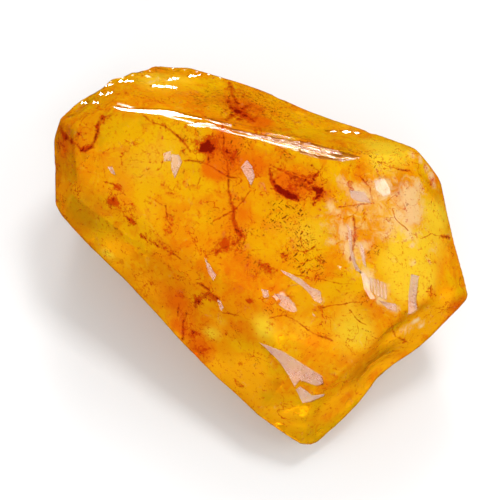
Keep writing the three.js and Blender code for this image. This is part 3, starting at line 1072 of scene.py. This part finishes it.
def sapphire_colour(n):
    """Colour layers from the ground up. Each covers what lies under it by its share."""
    place = n.place()
    broad = n.noise(place, 0.16, 2, 0.5, 0.6)
    cloud = n.noise(place, 0.55, 4, 0.6, 0.8)
    wisps = n.noise(n.place((1, 1, 0.5), (30, 20, 40)), 0.9, 5, 0.65, 1.2)
    grain = n.noise(place, 2.6, 5, 0.7)
    fine = n.noise(place, 7, 3, 0.6)
    sheen_grain = n.plus(n.times(wisps, 0.7), n.times(grain, 0.3))
    rust, fleck = clots(n, n.attribute("rust"), grain, fine)
    stray = n.band(n.noise(n.place(offset=(7, 2, 5)), 1.1, 4, 0.7), 0.655, 0.70)
    halo, core = vein_lines(n, grain, fine)
    stain, clot = clots(n, n.attribute("dark"), grain, fine)
    layers = [
        (n.band(broad, 0.38, 0.62), YELLOW),
        (n.times(n.band(wisps, 0.48, 0.62), 0.55), YELLOW),
        (n.times(n.band(cloud, 0.48, 0.66), 0.6), ORANGE),
        # painted light on faces that the lamps light too little
        (rough_edged(n, "lit", cloud, 0.7, 0.15, 1.0), LIT_AMBER),
        # painted glow where light shines through the stone
        (rough_edged(n, "painted_glow", cloud, 0.7, 0.15, 1.0), PAINTED_GLOW_YELLOW),
        (rough_edged(n, "olive", cloud, 0.6, 0.2, 1.0), OLIVE_YELLOW),
        # deeper orange tone, and painted shade along the lower right underside
        (rough_edged(n, "deep_tone_and_shade", wisps, 1.1, 0.1, 0.9), ORANGE),
        (n.times(n.band(grain, 0.54, 0.68), 0.5), ORANGE),
        # painted sheen: reflections and rim highlights painted as a pale haze
        (n.times(rough_edged(n, "painted_sheen", sheen_grain, 2.2, 0.15, 0.9), 0.8), SHEEN_PEACH),
        (n.times(rust, 0.7), RUST_RED),
        (n.times(hairlines(n, 0.30, (3, 1, 8), 0.009), 0.8), RUST_RED),
        (n.times(hairlines(n, 0.55, (11, 5, 2), 0.010), 0.7), RUST_RED),
        (n.times(fleck, 0.8), RUST_RED),
        (n.times(stray, 0.6), RUST_RED),
        (speckle(n, cloud), RUST_BROWN),
        (halo, RUST_RED),
        (core, RUST_BROWN),
        (stain, RUST_RED),
        (clot, DARK_RUST),
        # the dull flats' pale broken surface, partly a painted sheen
        (n.times(n.attribute("flat"), 0.6), BREAK_AND_SHEEN),
    ]
    colour = AMBER
    for share, layer in layers:
        colour = n.mix(share, colour, layer)
    return colour


def growth_lines(n, axis):
    """Fine lines that run along axis, where the painted band lets them."""
    side = axis.orthogonal().normalized()
    place = n.combine(n.along(axis, 0.10), n.along(side, 3.2), n.along(axis.cross(side), 3.2))
    return n.times(n.noise(place, 1, 2), n.attribute("striae"))


def surface_relief(n, axis):
    worn = n.bump(n.noise(n.place(), 1.6, 3), WORN_RELIEF, 0.6)
    uneven = n.times(n.noise(n.place(), 2.4, 4, 0.6), n.attribute("flat"))
    broken = n.bump(uneven, BROKEN_RELIEF, Normal=worn)
    return n.bump(growth_lines(n, axis), GROWTH_RELIEF, Normal=broken)


def sapphire_material(axis):
    material = bpy.data.materials.new("yellow sapphire")
    n = Nodes(material)
    n.set(n.shader.inputs["Base Color"], sapphire_colour(n))
    n.set(n.shader.inputs["Normal"], surface_relief(n, axis))
    n.shader.inputs["Roughness"].default_value = GLASSY
    n.shader.inputs["IOR"].default_value = SAPPHIRE_IOR
    clear = n.minus(CLEARNESS, n.times(n.attribute("lit"), LIT_CLOUDINESS))
    n.set(n.shader.inputs["Transmission Weight"], clear)
    absorb = n.tree.nodes.new("ShaderNodeVolumeAbsorption")
    absorb.inputs["Color"].default_value = (*ABSORPTION_COLOUR, 1)
    absorb.inputs["Density"].default_value = ABSORPTION_DENSITY
    n.set(n.tree.nodes["Material Output"].inputs["Volume"], absorb.outputs["Volume"])
    return material


# ---- Inclusions ----
GRAIN_SHAPES = 5
NEEDLE_SHAPES = 3
GRAIN_SHAKE = 0.35
NEEDLE_SHAKE = 0.3
GRAIN_SIZE = (0.04 * MM, 0.12 * MM)
NEEDLE_LENGTH = (0.25 * MM, 1.3 * MM)
NEEDLE_SHARE = 0.6  # of the drawn length
NEEDLE_THICKNESS = (0.03 * MM, 0.07 * MM)
SWARMS_INSIDE = 95
GRAINS_IN_SWARM = (8, 34)
SWARM_REACH = (0.6 * MM, 2.2 * MM)
SWARM_SPREAD = 0.5
LEAST_DEPTH = 0.12 * MM
MOST_DEPTH = 3 * MM
SKIN_SHARE = 0.7  # a grain stays this share of its longest side below the surface
GRAIN_BROWN = (0.14, 0.004, 0.001)
GRAIN_RUST = (0.42, 0.03, 0.002)
GRAIN_ROUGHNESS = 0.5


def shaken_shape(add_shape, shake, rng):
    """The corners and faces of a small primitive, its corners moved in or out a little."""
    bpy.ops.object.select_all(action="DESELECT")
    add_shape()
    piece = bpy.context.object
    stretches = [[1 + rng.uniform(-shake, shake)] * 3 for _ in piece.data.vertices]
    corners = vectors(piece.data.vertices, "co") * stretches
    faces = [tuple(p.vertices) for p in piece.data.polygons]
    bpy.data.objects.remove(piece)
    return corners, faces


def add_grain():
    bpy.ops.mesh.primitive_ico_sphere_add(subdivisions=1, radius=1)


def add_needle():
    bpy.ops.mesh.primitive_cylinder_add(vertices=4, radius=0.5, depth=1)


def random_turn(rng):
    axis = random_vector(rng).normalized()
    return np.array(Matrix.Rotation(rng.uniform(0, math.tau), 3, axis))


def swarm_middles(stone, rng):
    """Places just below the surface, spread evenly over it."""
    # the cuts leave the faces in another order each run, so they are sorted before the draw
    corners = [tuple(vertex.co) for vertex in stone.data.vertices]
    faces = sorted(stone.data.polygons, key=lambda face: sorted(corners[i] for i in face.vertices))
    chosen = rng.choices(faces, [face.area for face in faces], k=SWARMS_INSIDE)
    return [face.center - face.normal * rng.uniform(LEAST_DEPTH, MOST_DEPTH) for face in chosen]


def inside(tree, point, depth):
    """Whether a point lies in the stone, deeper than depth."""
    surface_above = tree.ray_cast(point, Vector((0, 0, 1)))[1]
    return surface_above is not None and surface_above.z > 0 and tree.find_nearest(point)[3] > depth


def scatter_inclusions(stone, rng):
    tree = surface_tree(stone)
    shapes = [shaken_shape(add_grain, GRAIN_SHAKE, rng) for _ in range(GRAIN_SHAPES)]
    shapes += [shaken_shape(add_needle, NEEDLE_SHAKE, rng) for _ in range(NEEDLE_SHAPES)]
    corners, faces, count = [], [], 0
    for middle in swarm_middles(stone, rng):
        reach = rng.uniform(*SWARM_REACH)
        for _ in range(rng.randint(*GRAINS_IN_SWARM)):
            place = middle + random_vector(rng) * reach * SWARM_SPREAD
            shape = rng.randrange(len(shapes))
            if shape < GRAIN_SHAPES:
                size = [rng.uniform(*GRAIN_SIZE) for _ in range(3)]
            else:
                thickness = rng.uniform(*NEEDLE_THICKNESS)
                size = [thickness, thickness, rng.uniform(*NEEDLE_LENGTH) * NEEDLE_SHARE]
            if not inside(tree, place, max(LEAST_DEPTH, max(size) * SKIN_SHARE)):
                continue
            own, own_faces = shapes[shape]
            corners.append((own * size) @ random_turn(rng).T + np.array(place))
            faces += [tuple(i + count for i in face) for face in own_faces]
            count += len(own)
    return np.concatenate(corners), faces


def inclusion_material():
    material = bpy.data.materials.new("rust grains")
    n = Nodes(material)
    n.set(n.shader.inputs["Base Color"], n.mix(n.noise(n.place(), 0.8, 2), GRAIN_BROWN, GRAIN_RUST))
    n.shader.inputs["Roughness"].default_value = GRAIN_ROUGHNESS
    return material


def add_inclusions(stone, rng):
    corners, faces = scatter_inclusions(stone, rng)
    mesh = bpy.data.meshes.new("inclusions")
    mesh.from_pydata(corners.tolist(), [], faces)
    piece = bpy.data.objects.new("inclusions", mesh)
    bpy.context.scene.collection.objects.link(piece)
    mesh.materials.append(inclusion_material())
    return piece


# ---- The whole ----
CHIP_SEED = 11
STEP_SEED = 5
INCLUSION_SEED = 7


def make_body():
    stone = fine_copy(frame["nodes"]["stone"])
    wear(stone)
    chip_edges(stone, random.Random(CHIP_SEED))
    crease_flats(stone, break_flats(stone, random.Random(STEP_SEED)))
    paint_marks(stone)
    surface_under = surface_finder(stone)
    ridge_start, ridge_end = (surface_under(*place) for place in RIDGE_ENDS)
    stone.data.materials.clear()
    stone.data.materials.append(sapphire_material((ridge_end - ridge_start).normalized()))
    return stone


add_studio()
body = make_body()
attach(body, "root")
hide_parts("stone")
inclusions = add_inclusions(body, random.Random(INCLUSION_SEED))
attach(inclusions, "root")
